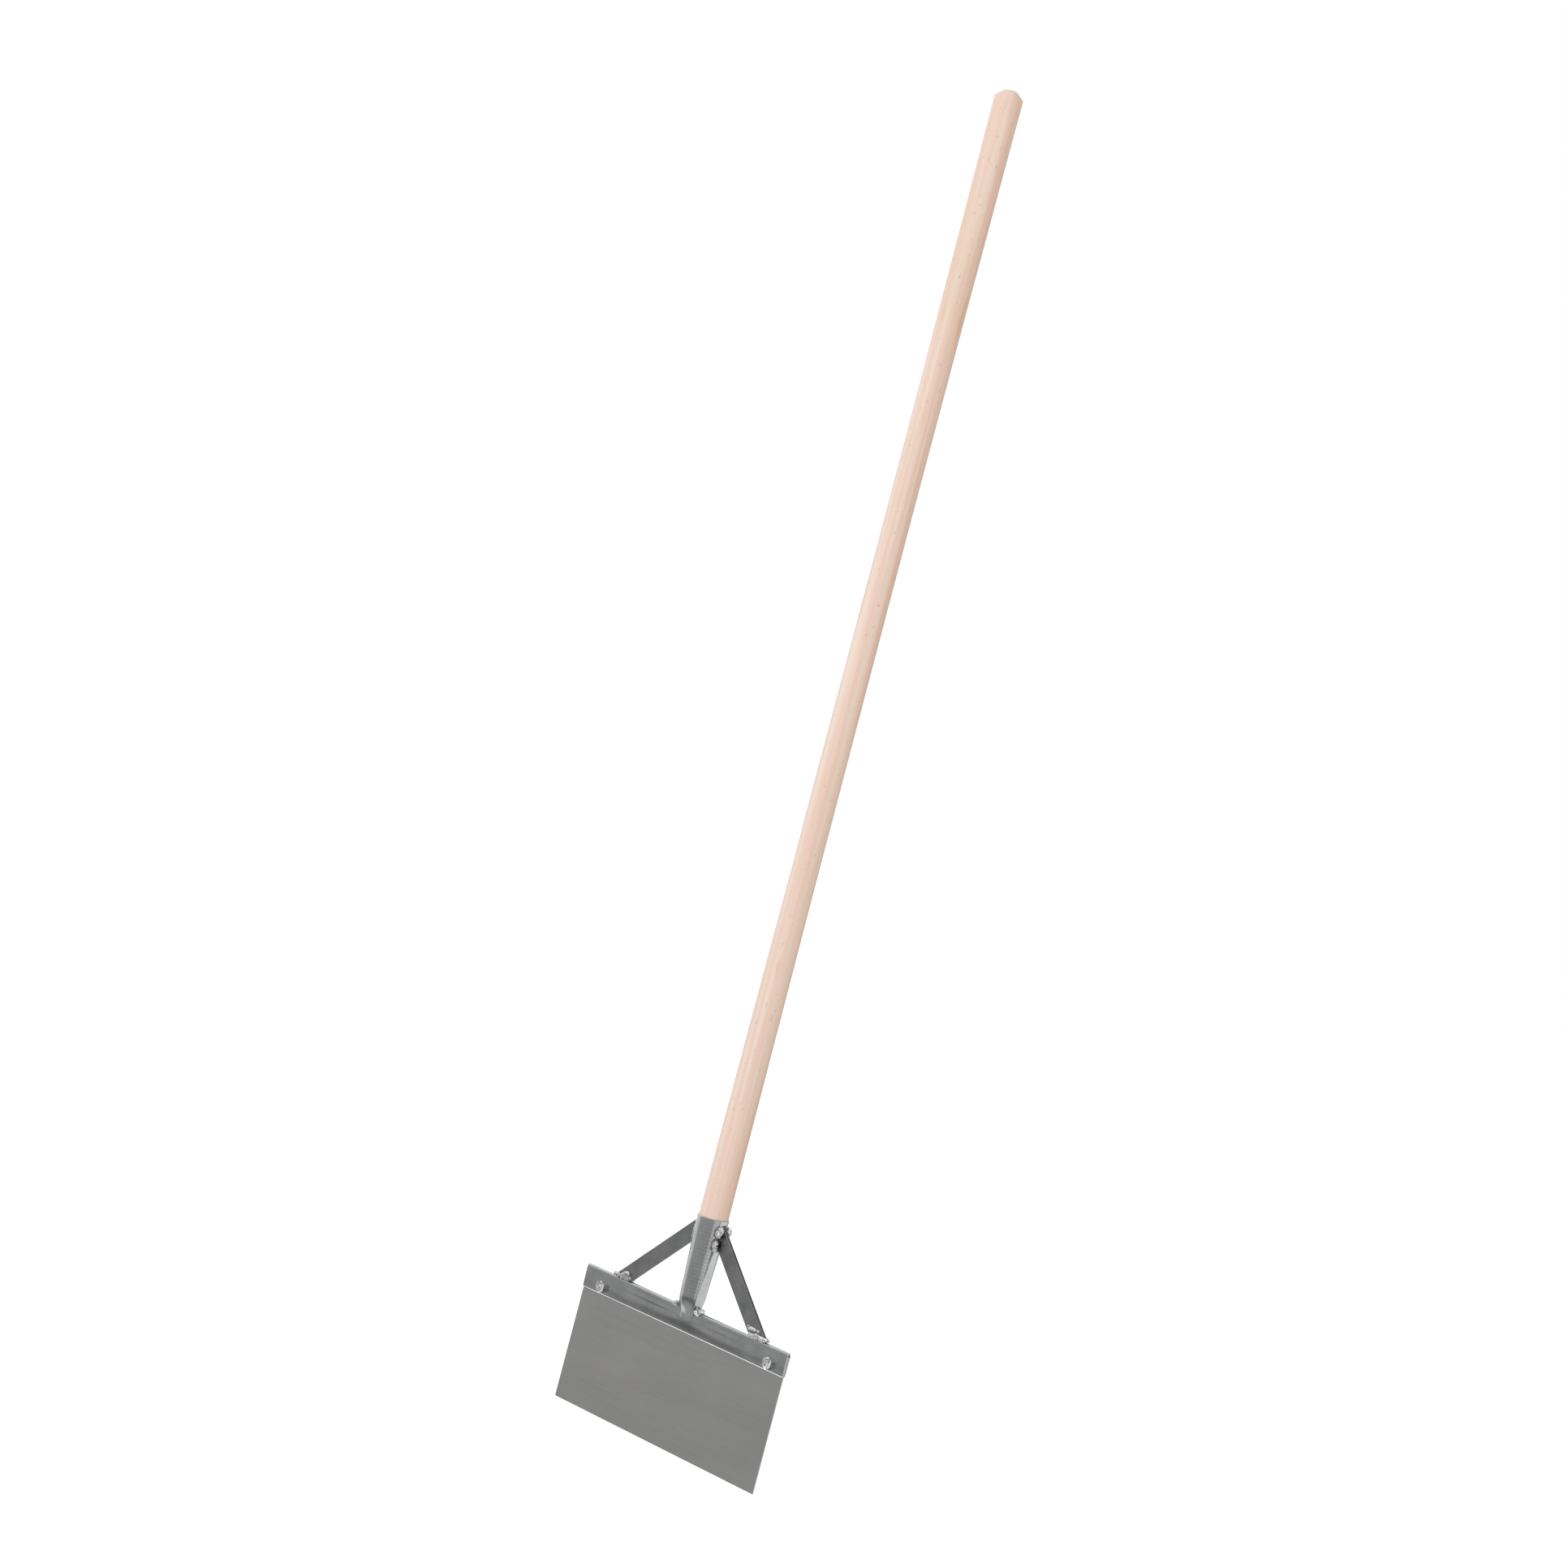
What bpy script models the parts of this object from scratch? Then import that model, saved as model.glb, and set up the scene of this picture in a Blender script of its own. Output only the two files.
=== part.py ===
"""Push scraper with a bolted wear blade, a folded steel holder, a braced socket and a wooden handle.

Frame: +Z runs up the handle, +X along the blade, the working face looks towards -Y.
The origin is on the cutting edge, straight under the handle. Everything is in metres.
"""
import math

import bmesh
import bpy
from mathutils import Matrix, Vector

MM = 0.001
GAP = 0.3 * MM                      # clearance left between touching pieces

# Blade and folded holder
BLADE_WIDTH = 350 * MM
BLADE_VISIBLE = 142 * MM            # cutting edge to the lower edge of the holder
BLADE_THICK = 1.8 * MM
BLADE_TOP = 166.4 * MM
SIDE_SHIFT = -5 * MM                # blade and holder reach further to the left of the handle
HOLDER_HEIGHT = 30 * MM
HOLDER_SHEET = 1.8 * MM
HOLDER_HALF = BLADE_THICK / 2 + GAP + HOLDER_SHEET
FOLD_HEIGHT = 5 * MM                # height of the rounded fold on top
HOLDER_TOP = BLADE_VISIBLE + HOLDER_HEIGHT
FOLD_STEPS = 14
EDGE_BREAK = 0.4 * MM

# Socket: a tapered tube, slotted over the holder, with two lips pressed down to it
MOUTH_Z = HOLDER_TOP + 114 * MM
MOUTH_RADIUS = 20.2 * MM
NECK_RADIUS = 15.9 * MM             # at the top of the holder
SOCKET_WALL = 1.3 * MM
LIP_BOTTOM = HOLDER_TOP - 23 * MM
LIP_TOP = HOLDER_TOP + 6 * MM       # the tube is round from here up
LIP_HALF_WIDTH = 13.5 * MM
LIP_HALF_DEPTH = HOLDER_HALF + GAP + 0.9 * MM
SOCKET_SEGMENTS = 64
LIP_RINGS = 12

# Handle
HANDLE_BOTTOM = HOLDER_TOP + 20 * MM
HANDLE_TOP = HOLDER_TOP + 1520 * MM
HANDLE_FOOT_RADIUS = 18.6 * MM      # just above the socket
HANDLE_WAIST_RADIUS = 16.05 * MM
HANDLE_WAIST_Z = HOLDER_TOP + 960 * MM
HANDLE_HEAD_RADIUS = 17.7 * MM
HANDLE_SWELL_START = MOUTH_Z + 14 * MM
HANDLE_FOOT_POWER = 1.6
HANDLE_HEAD_POWER = 2.0
END_PROFILE = (                     # radius and depth below the top: a wide chamfer and a small flat
    (HANDLE_HEAD_RADIUS, 9.6 * MM),
    (17.1 * MM, 8.4 * MM),
    (13.3 * MM, 4.6 * MM),
    (9.2 * MM, 1.2 * MM),
    (7.6 * MM, 0.3 * MM),
    (6.0 * MM, 0.0),
)
END_BASE = HANDLE_TOP - END_PROFILE[0][1]
HANDLE_SEGMENTS = 56

# Braces: flat bar from the socket down to the top of the holder
BRACE_WIDTH = 20 * MM
BRACE_THICK = 5 * MM
BRACE_FOOT_X = 118 * MM
BRACE_ANGLE = math.radians(44.0)
BRACE_LENGTH = 190 * MM

# Bolts M8 with nuts and washers
BOLT_X = 146 * MM
BOLT_Z = BLADE_VISIBLE + 9.5 * MM
BOLT_RADIUS = 3.95 * MM
BOLT_HOLE_RADIUS = 4.5 * MM
HEX_FLATS = 13 * MM
HEAD_HEIGHT = 5.3 * MM
NUT_HEIGHT = 6.5 * MM
HEX_CHAMFER = 0.9 * MM
WASHER_RADIUS = 8 * MM
WASHER_THICK = 1.6 * MM
BOLT_TAIL = 2.5 * MM                # thread standing out of the nut
ROUND_SEGMENTS = 32

# Screw that keeps the handle in its socket, entered from behind
SCREW_Z = MOUTH_Z - 30 * MM
SCREW_RADIUS = 1.9 * MM
SCREW_DEPTH = 24 * MM
SCREW_HEAD_RADIUS = 4 * MM
SCREW_HEAD_HEIGHT = 2.4 * MM
SCREW_HOLE_RADIUS = SCREW_RADIUS + GAP

# Weld beads
BEAD_SIDES = 14
BEAD_PITCH = 2.2 * MM               # spacing of the ripples along a bead
BEAD_RIPPLE = 0.10                  # ripple depth as a share of the bead radius

part_collection = bpy.data.collections.new("push_scraper")
cutter_collection = bpy.data.collections.new("cutters")


# ---------------------------------------------------------------- scene and materials

def clear_scene():
    for old in list(bpy.data.objects):
        bpy.data.objects.remove(old, do_unlink=True)
    for collection in (part_collection, cutter_collection):
        bpy.context.scene.collection.children.link(collection)
    cutter_collection.hide_render = True


def make_material(name, colour, roughness, metallic):
    material = bpy.data.materials.new(name)
    material.use_nodes = True
    shader = material.node_tree.nodes["Principled BSDF"]
    shader.inputs["Base Color"].default_value = (*colour, 1.0)
    shader.inputs["Roughness"].default_value = roughness
    shader.inputs["Metallic"].default_value = metallic
    return material


def add_object(name, shape, material):
    """Put a finished bmesh into the part as one named object."""
    mesh = bpy.data.meshes.new(name)
    bmesh.ops.recalc_face_normals(shape, faces=shape.faces)
    shape.to_mesh(mesh)
    shape.free()
    piece = bpy.data.objects.new(name, mesh)
    if material is None:
        cutter_collection.objects.link(piece)
        piece.display_type = "WIRE"
        piece.hide_render = True
    else:
        part_collection.objects.link(piece)
        mesh.materials.append(material)
    return piece


def shade(piece, angle_degrees=35):
    mesh = piece.data
    mesh.shade_smooth()
    mesh.set_sharp_from_angle(angle=math.radians(angle_degrees))


def cut(piece, cutters):
    """Take the cutters away from a piece, one exact Boolean each."""
    for cutter in cutters:
        modifier = piece.modifiers.new("cut_" + cutter.name, "BOOLEAN")
        modifier.operation = "DIFFERENCE"
        modifier.solver = "EXACT"
        modifier.object = cutter


# ---------------------------------------------------------------- basic shapes

def box_shape(low, high):
    shape = bmesh.new()
    size = [b - a for a, b in zip(low, high)]
    centre = [(a + b) / 2 for a, b in zip(low, high)]
    matrix = Matrix.Translation(centre) @ Matrix.Diagonal((*size, 1.0))
    bmesh.ops.create_cube(shape, size=1.0, matrix=matrix)
    return shape


def skin_rings(rings):
    """Join closed rings of points into one closed body with flat end caps."""
    shape = bmesh.new()
    loops = [[shape.verts.new(point) for point in ring] for ring in rings]
    count = len(loops[0])
    for lower, upper in zip(loops, loops[1:]):
        for i in range(count):
            j = (i + 1) % count
            shape.faces.new((lower[i], lower[j], upper[j], upper[i]))
    shape.faces.new(list(reversed(loops[0])))
    shape.faces.new(loops[-1])
    return shape


def ellipse_ring(half_x, half_y, z, segments):
    turns = [2 * math.pi * i / segments for i in range(segments)]
    return [Vector((half_x * math.cos(t), half_y * math.sin(t), z)) for t in turns]


def turned_shape(profile, segments):
    """Body of revolution about Z from (radius, height) pairs."""
    return skin_rings([ellipse_ring(r, r, z, segments) for r, z in profile])


def lay_along_y(shape, x, y, z):
    """Turn a body made along +Z so that it runs along +Y from the given point."""
    matrix = Matrix.Translation((x, y, z)) @ Matrix.Rotation(-math.pi / 2, 4, "X")
    bmesh.ops.transform(shape, matrix=matrix, verts=shape.verts)
    return shape


def round_cutter(name, radius, x, y_from, y_to, z):
    shape = turned_shape([(radius, 0), (radius, y_to - y_from)], ROUND_SEGMENTS)
    return add_object(name, lay_along_y(shape, x, y_from, z), None)


# ---------------------------------------------------------------- blade and holder

def holder_outline(grow):
    """Outer outline of the folded holder in (y, z), closed at the bottom."""
    half = HOLDER_HALF + grow
    spring = HOLDER_TOP - FOLD_HEIGHT
    points = [(half, BLADE_VISIBLE - grow)]
    for i in range(FOLD_STEPS + 1):
        turn = math.pi * i / FOLD_STEPS
        points.append((half * math.cos(turn), spring + (FOLD_HEIGHT + grow) * math.sin(turn)))
    points.append((-half, BLADE_VISIBLE - grow))
    return points


def holder_section():
    """The folded sheet seen from its end: outer run, then the inner run back."""
    outer = holder_outline(0)
    outer[0:1] = [(HOLDER_HALF - EDGE_BREAK, BLADE_VISIBLE), (HOLDER_HALF, BLADE_VISIBLE + EDGE_BREAK)]
    outer[-1:] = [(-HOLDER_HALF, BLADE_VISIBLE + EDGE_BREAK), (-HOLDER_HALF + EDGE_BREAK, BLADE_VISIBLE)]
    inner_half = HOLDER_HALF - HOLDER_SHEET
    spring = HOLDER_TOP - FOLD_HEIGHT
    inner = [(-inner_half, BLADE_VISIBLE)]
    for i in range(FOLD_STEPS + 1):
        turn = math.pi - math.pi * i / FOLD_STEPS
        inner.append((inner_half * math.cos(turn), spring + (FOLD_HEIGHT - HOLDER_SHEET) * math.sin(turn)))
    inner.append((inner_half, BLADE_VISIBLE))
    return outer + inner


def extrude_along_x(section, x_from, x_to):
    return skin_rings([[Vector((x, y, z)) for y, z in section] for x in (x_from, x_to)])


def blade_side(sign):
    return SIDE_SHIFT + sign * BLADE_WIDTH / 2


def build_holder(material, holes):
    shape = extrude_along_x(holder_section(), blade_side(-1), blade_side(1))
    holder = add_object("blade_holder", shape, material)
    cut(holder, holes)
    shade(holder)


def build_blade(material, holes):
    low = (blade_side(-1), -BLADE_THICK / 2, 0)
    high = (blade_side(1), BLADE_THICK / 2, BLADE_TOP)
    blade = add_object("blade", box_shape(low, high), material)
    cut(blade, holes)


# ---------------------------------------------------------------- socket and handle

def socket_radius(z):
    share = (z - HOLDER_TOP) / (MOUTH_Z - HOLDER_TOP)
    return NECK_RADIUS + share * (MOUTH_RADIUS - NECK_RADIUS)


def socket_rings(grow, bottom, top):
    """Rings of the socket skin: lips that leave the holder smoothly, round above LIP_TOP."""
    rings = []
    round_radius = socket_radius(LIP_TOP)
    for i in range(LIP_RINGS + 1):
        share = i / LIP_RINGS
        z = bottom + share * (LIP_TOP - bottom)
        lift = share * share * (3 - 2 * share)
        widen = math.sin(share * math.pi / 2)
        half_x = LIP_HALF_WIDTH + widen * (round_radius - LIP_HALF_WIDTH)
        half_y = LIP_HALF_DEPTH + lift * (round_radius - LIP_HALF_DEPTH)
        rings.append(ellipse_ring(half_x + grow, half_y + grow, z, SOCKET_SEGMENTS))
    rings.append(ellipse_ring(*[socket_radius(top) + grow] * 2, top, SOCKET_SEGMENTS))
    return rings


def build_socket(material, screw_hole):
    socket = add_object("socket", skin_rings(socket_rings(0, LIP_BOTTOM, MOUTH_Z)), material)
    bore_top = MOUTH_Z + 5 * MM
    bore = skin_rings(socket_rings(-SOCKET_WALL, LIP_BOTTOM, bore_top))
    slot_half = HOLDER_HALF + GAP
    slot_low = (-2 * NECK_RADIUS, -slot_half, LIP_BOTTOM - 5 * MM)
    slot_high = (2 * NECK_RADIUS, slot_half, HOLDER_TOP + GAP)
    cutters = [
        add_object("cutter_socket_bore", bore, None),
        add_object("cutter_socket_slot", box_shape(slot_low, slot_high), None),
        screw_hole,
    ]
    cut(socket, cutters)
    shade(socket)


def handle_radius(z):
    if z <= MOUTH_Z:
        return socket_radius(z) - SOCKET_WALL - GAP
    if z < HANDLE_SWELL_START:
        return HANDLE_FOOT_RADIUS
    if z < HANDLE_WAIST_Z:
        share = (HANDLE_WAIST_Z - z) / (HANDLE_WAIST_Z - HANDLE_SWELL_START)
        return HANDLE_WAIST_RADIUS + (HANDLE_FOOT_RADIUS - HANDLE_WAIST_RADIUS) * share ** HANDLE_FOOT_POWER
    share = (z - HANDLE_WAIST_Z) / (END_BASE - HANDLE_WAIST_Z)
    return HANDLE_WAIST_RADIUS + (HANDLE_HEAD_RADIUS - HANDLE_WAIST_RADIUS) * share ** HANDLE_HEAD_POWER


def build_handle(material, screw_hole):
    shank_steps = 20
    chamfer = 2 * MM
    foot = handle_radius(HANDLE_BOTTOM)
    profile = [(foot - chamfer, HANDLE_BOTTOM), (foot + 0.1 * MM, HANDLE_BOTTOM + chamfer)]
    profile.append((handle_radius(MOUTH_Z), MOUTH_Z))
    for i in range(shank_steps):
        z = HANDLE_SWELL_START + (END_BASE - HANDLE_SWELL_START) * i / shank_steps
        profile.append((handle_radius(z), z))
    profile += [(radius, HANDLE_TOP - depth) for radius, depth in END_PROFILE]
    handle = add_object("handle", turned_shape(profile, HANDLE_SEGMENTS), material)
    cut(handle, [screw_hole])
    shade(handle, 40)


# ---------------------------------------------------------------- braces

def brace_frame(side):
    """Matrix that takes +X along the brace (up towards the socket), from its foot."""
    direction = math.pi - BRACE_ANGLE if side > 0 else BRACE_ANGLE
    return Matrix.Translation((side * BRACE_FOOT_X, 0, HOLDER_TOP)) @ Matrix.Rotation(-direction, 4, "Y")


def brace_bar(side, grow):
    run_out = 40 * MM
    low = (-run_out, -BRACE_THICK / 2 - grow, -BRACE_WIDTH / 2 - grow)
    high = (BRACE_LENGTH - run_out, BRACE_THICK / 2 + grow, BRACE_WIDTH / 2 + grow)
    shape = box_shape(low, high)
    bmesh.ops.transform(shape, matrix=brace_frame(side), verts=shape.verts)
    return shape


def build_brace(name, side, material, socket_skin):
    brace = add_object(name, brace_bar(side, 0), material)
    reach = 300 * MM
    below = box_shape((-reach, -reach, 0), (reach, reach, HOLDER_TOP + GAP))
    past_axis = box_shape((-reach, -reach, 0), (0, reach, 2 * reach))
    if side < 0:
        past_axis = box_shape((0, -reach, 0), (reach, reach, 2 * reach))
    cutters = [
        add_object("cutter_" + name + "_foot", below, None),
        add_object("cutter_" + name + "_axis", past_axis, None),
        socket_skin,
    ]
    cut(brace, cutters)


# ---------------------------------------------------------------- bolts, nuts, washers, screw

def hex_shape(height, chamfer_bottom):
    """Hexagon prism with its corners turned off at one or both ends."""
    corner = HEX_FLATS / math.sqrt(3)
    flat = HEX_FLATS / 2 * 0.97
    levels = [(corner, 0.0), (corner, height - HEX_CHAMFER), (flat, height)]
    if chamfer_bottom:
        levels[0:1] = [(flat, 0.0), (corner, HEX_CHAMFER)]
    turns = [math.pi * i / 3 for i in range(6)]
    rings = [[Vector((r * math.cos(t), r * math.sin(t), z)) for t in turns] for r, z in levels]
    return skin_rings(rings)


def build_bolt(name, x, material):
    """Hexagon head in front of the holder, its face looking towards -Y, and a plain shank."""
    head = hex_shape(HEAD_HEIGHT, False)
    flip = Matrix.Rotation(math.pi, 4, "X")
    bmesh.ops.transform(head, matrix=flip, verts=head.verts)
    head_back = -HOLDER_HALF - GAP
    bolt = add_object(name, lay_along_y(head, x, head_back, BOLT_Z), material)
    tail = HOLDER_HALF + GAP + WASHER_THICK + GAP + NUT_HEIGHT + BOLT_TAIL
    start = HEAD_HEIGHT / 2
    length = tail - head_back
    tip = 1 * MM
    profile = [(BOLT_RADIUS, -start), (BOLT_RADIUS, length - tip), (BOLT_RADIUS - tip, length)]
    shank = turned_shape(profile, ROUND_SEGMENTS)
    shank_object = add_object("cutter_" + name + "_shank", lay_along_y(shank, x, head_back, BOLT_Z), None)
    modifier = bolt.modifiers.new("join_shank", "BOOLEAN")
    modifier.operation = "UNION"
    modifier.solver = "EXACT"
    modifier.object = shank_object
    shade(bolt)


def build_washer(name, x, material):
    back = HOLDER_HALF + GAP
    shape = turned_shape([(WASHER_RADIUS, 0), (WASHER_RADIUS, WASHER_THICK)], ROUND_SEGMENTS)
    washer = add_object(name, lay_along_y(shape, x, back, BOLT_Z), material)
    hole = round_cutter("cutter_" + name, BOLT_HOLE_RADIUS, x, back - 2 * MM, back + 6 * MM, BOLT_Z)
    cut(washer, [hole])
    shade(washer)


def build_nut(name, x, material):
    back = HOLDER_HALF + GAP + WASHER_THICK + GAP
    nut = add_object(name, lay_along_y(hex_shape(NUT_HEIGHT, True), x, back, BOLT_Z), material)
    hole = round_cutter("cutter_" + name, BOLT_RADIUS + GAP, x, back - 2 * MM, back + 12 * MM, BOLT_Z)
    cut(nut, [hole])
    shade(nut)


def build_screw(material):
    """Pan-head screw lying along Y, its head behind the socket."""
    seat = socket_radius(SCREW_Z) + GAP + 0.4 * MM
    length = SCREW_DEPTH
    rounding = 1 * MM
    profile = [
        (0.4 * MM, -length),
        (SCREW_RADIUS, -length + 4 * MM),
        (SCREW_RADIUS, 0),
        (SCREW_HEAD_RADIUS, 0),
        (SCREW_HEAD_RADIUS, SCREW_HEAD_HEIGHT - rounding),
        (SCREW_HEAD_RADIUS - rounding, SCREW_HEAD_HEIGHT),
    ]
    shape = lay_along_y(turned_shape(profile, ROUND_SEGMENTS), 0, seat, SCREW_Z)
    shade(add_object("handle_screw", shape, material))


# ---------------------------------------------------------------- weld beads

def bead_shape(start, end, radius):
    """A rippled bead: rings along a line, swelling in the middle and closed at both ends."""
    start, end = Vector(start), Vector(end)
    axis = (end - start).normalized()
    across = axis.orthogonal().normalized()
    other = axis.cross(across)
    length = (end - start).length
    steps = max(8, round(length / BEAD_PITCH) * 4)
    rings = []
    for i in range(steps + 1):
        share = i / steps
        swell = max(0.18, math.sin(math.pi * share)) ** 0.45
        ripple = 1 + BEAD_RIPPLE * math.cos(2 * math.pi * share * length / BEAD_PITCH)
        ring_radius = radius * swell * ripple
        centre = start + axis * (length * share)
        turns = [2 * math.pi * k / BEAD_SIDES for k in range(BEAD_SIDES)]
        rings.append([centre + ring_radius * (math.cos(t) * across + math.sin(t) * other) for t in turns])
    return skin_rings(rings)


def build_bead(name, start, end, radius, material, neighbours):
    bead = add_object(name, bead_shape(start, end, radius), material)
    cut(bead, neighbours)
    shade(bead, 50)


def build_brace_welds(label, side, material, socket_skin, holder_skin):
    """Front and back beads at the foot and at the top of one brace."""
    bar = add_object("cutter_" + label + "_bar", brace_bar(side, GAP), None)
    foot_half = 16 * MM
    foot_y = BRACE_THICK / 2 + 0.9 * MM
    foot_z = HOLDER_TOP + 0.3 * MM
    top_x = 20.6 * MM
    top_y = BRACE_THICK / 2 + 2.2 * MM
    top_low = HOLDER_TOP + 74 * MM
    top_high = HOLDER_TOP + 110 * MM
    for face, y_side in (("front", -1), ("back", 1)):
        foot_from = (side * (BRACE_FOOT_X - foot_half), y_side * foot_y, foot_z)
        foot_to = (side * (BRACE_FOOT_X + foot_half), y_side * foot_y, foot_z)
        foot_name = "weld_foot_" + label + "_" + face
        build_bead(foot_name, foot_from, foot_to, 3.2 * MM, material, [bar, holder_skin])
        top_from = (side * (top_x - 0.8 * MM), y_side * top_y, top_low)
        top_to = (side * (top_x + 0.4 * MM), y_side * top_y, top_high)
        top_name = "weld_top_" + label + "_" + face
        build_bead(top_name, top_from, top_to, 4.6 * MM, material, [bar, socket_skin])


def build_socket_welds(material, socket_skin, holder_skin):
    """Beads beside the socket on the fold, and along the ends of its two lips."""
    for label, side in (("left", -1), ("right", 1)):
        start = (side * 17.8 * MM, -8 * MM, HOLDER_TOP - 0.5 * MM)
        end = (side * 17.8 * MM, 8 * MM, HOLDER_TOP - 0.5 * MM)
        build_bead("weld_socket_" + label, start, end, 4.6 * MM, material, [socket_skin, holder_skin])
    lip_y = LIP_HALF_DEPTH + 0.1 * MM
    lip_z = LIP_BOTTOM - 0.5 * MM
    lip_x = LIP_HALF_WIDTH - 0.5 * MM
    for face, y_side in (("front", -1), ("back", 1)):
        start = (-lip_x, y_side * lip_y, lip_z)
        end = (lip_x, y_side * lip_y, lip_z)
        build_bead("weld_lip_" + face, start, end, 1.9 * MM, material, [socket_skin, holder_skin])


# ---------------------------------------------------------------- the whole scraper

def build():
    clear_scene()
    steel = make_material("galvanised_steel", (0.42, 0.43, 0.44), 0.38, 1.0)
    blade_steel = make_material("blade_steel", (0.33, 0.32, 0.32), 0.5, 1.0)
    zinc = make_material("zinc_fastener", (0.72, 0.74, 0.76), 0.2, 1.0)
    weld = make_material("weld_metal", (0.62, 0.63, 0.64), 0.25, 1.0)
    beech = make_material("beech_wood", (0.78, 0.62, 0.5), 0.5, 0.0)

    holes = [
        round_cutter("cutter_bolt_hole_" + label, BOLT_HOLE_RADIUS, side * BOLT_X, -20 * MM, 20 * MM, BOLT_Z)
        for label, side in (("left", -1), ("right", 1))
    ]
    screw_hole = round_cutter("cutter_screw_hole", SCREW_HOLE_RADIUS, 0, -6 * MM, 30 * MM, SCREW_Z)
    skin_top = MOUTH_Z + 10 * MM
    socket_skin = add_object("cutter_socket_skin", skin_rings(socket_rings(GAP, LIP_BOTTOM - GAP, skin_top)), None)
    holder_skin_shape = extrude_along_x(holder_outline(GAP), -BLADE_WIDTH, BLADE_WIDTH)
    holder_skin = add_object("cutter_holder_skin", holder_skin_shape, None)

    build_handle(beech, screw_hole)
    build_screw(zinc)
    build_socket(steel, screw_hole)
    build_holder(steel, holes)
    build_blade(blade_steel, holes)
    for label, side in (("left", -1), ("right", 1)):
        build_brace("brace_" + label, side, steel, socket_skin)
        build_bolt("bolt_" + label, side * BOLT_X, zinc)
        build_washer("washer_" + label, side * BOLT_X, zinc)
        build_nut("nut_" + label, side * BOLT_X, zinc)
        build_brace_welds(label, side, weld, socket_skin, holder_skin)
    build_socket_welds(weld, socket_skin, holder_skin)


build()
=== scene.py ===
"""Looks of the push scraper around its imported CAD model: meshes, materials, light and camera.

Everything is in metres, in the frame of the CAD: +Z up the handle, +X along the blade, front towards -Y.
"""
import math
import random

import bmesh
import bpy
from mathutils import Matrix, Quaternion, Vector, noise


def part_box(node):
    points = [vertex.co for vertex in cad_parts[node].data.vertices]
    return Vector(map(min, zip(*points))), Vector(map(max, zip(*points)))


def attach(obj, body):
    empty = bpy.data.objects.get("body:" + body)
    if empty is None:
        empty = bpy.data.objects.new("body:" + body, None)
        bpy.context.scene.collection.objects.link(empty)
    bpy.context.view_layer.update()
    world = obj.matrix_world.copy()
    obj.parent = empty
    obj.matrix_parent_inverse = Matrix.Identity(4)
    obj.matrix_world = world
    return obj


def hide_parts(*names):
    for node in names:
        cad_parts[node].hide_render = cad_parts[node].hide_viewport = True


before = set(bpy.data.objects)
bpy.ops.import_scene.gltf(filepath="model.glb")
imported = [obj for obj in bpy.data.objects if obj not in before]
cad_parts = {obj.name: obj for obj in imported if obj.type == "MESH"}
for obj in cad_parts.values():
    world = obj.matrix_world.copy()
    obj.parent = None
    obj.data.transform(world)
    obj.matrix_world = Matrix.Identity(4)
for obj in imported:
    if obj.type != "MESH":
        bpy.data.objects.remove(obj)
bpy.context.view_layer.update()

MM = 0.001

# Camera, at the photograph's viewing angle
CAMERA_POINT = Vector((2.4124, -2.7255, 0.8599))
CAMERA_AZIMUTH = math.radians(42.321)
CAMERA_ELEVATION = math.radians(0.709)
CAMERA_ROLL = math.radians(-14.771)
CAMERA_LENS = 69.124
SENSOR = 36.0

# Places taken from the CAD
HOLDER_LOW, HOLDER_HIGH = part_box("blade_holder")
BLADE_LOW, BLADE_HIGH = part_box("blade")
SOCKET_LOW, SOCKET_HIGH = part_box("socket")
HANDLE_LOW, HANDLE_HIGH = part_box("handle")
SCREW_LOW, SCREW_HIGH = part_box("handle_screw")
HOLDER_TOP = HOLDER_HIGH[2]
MOUTH_Z = SOCKET_HIGH[2]

# Folded holder
HOLDER_HALF = 3.0 * MM
HOLDER_SHEET = 1.8 * MM
FOLD_HEIGHT = 5 * MM
FOLD_STEPS = 16
LOWER_BEVEL_RISE = 1.3 * MM         # the sheet's lower edges are cut at a slant
LOWER_BEVEL_DEPTH = 0.8 * MM
LOWER_BEVEL_STEPS = 4
FACE_STEPS = 30
HOLDER_STATIONS = 180
CURL_DEPTH = 0.95 * MM              # the lower part of each face, pressed in
RIDGE_HEIGHT = 0.24 * MM
WAVE_DEPTH = 0.16 * MM
FILLET_HEIGHT = 1.0 * MM            # weld metal that lifts the face below the socket
BEND_SHARE = 0.4                    # of the sheet's thickness, from no bend inside to all of it

# Socket
MOUTH_RADIUS = 20.2 * MM
NECK_RADIUS = 15.9 * MM
SOCKET_WALL = 1.3 * MM
LIP_BOTTOM = SOCKET_LOW[2]
LIP_TOP = HOLDER_TOP + 18 * MM      # the tube is round from here up
LIP_HALF_WIDTH = 13.5 * MM
LIP_HALF_DEPTH = 4.2 * MM
LIP_FADE = 1.6 * MM                 # how far the lips' lower ends sink into the holder
PRESS_DEPTH = 2.3 * MM              # the tube is pressed flat on its +X side
PRESS_TOP = HOLDER_TOP + 74 * MM
SEAM_HEIGHT = 0.22 * MM
SEAM_TURNS = (-0.72, -0.60)
DENT_DEPTH = 0.10 * MM
RIPPLE_DEPTH = 0.010 * MM
RIPPLE_PITCH = 4.4 * MM
TUBE_INSET = 0.2 * MM               # keeps the seams and dents inside the CAD's tube
RIM_STEPS = 6
MOUTH_DEPTH = 12 * MM
SOCKET_SEGMENTS = 168
SOCKET_RINGS = 220

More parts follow.
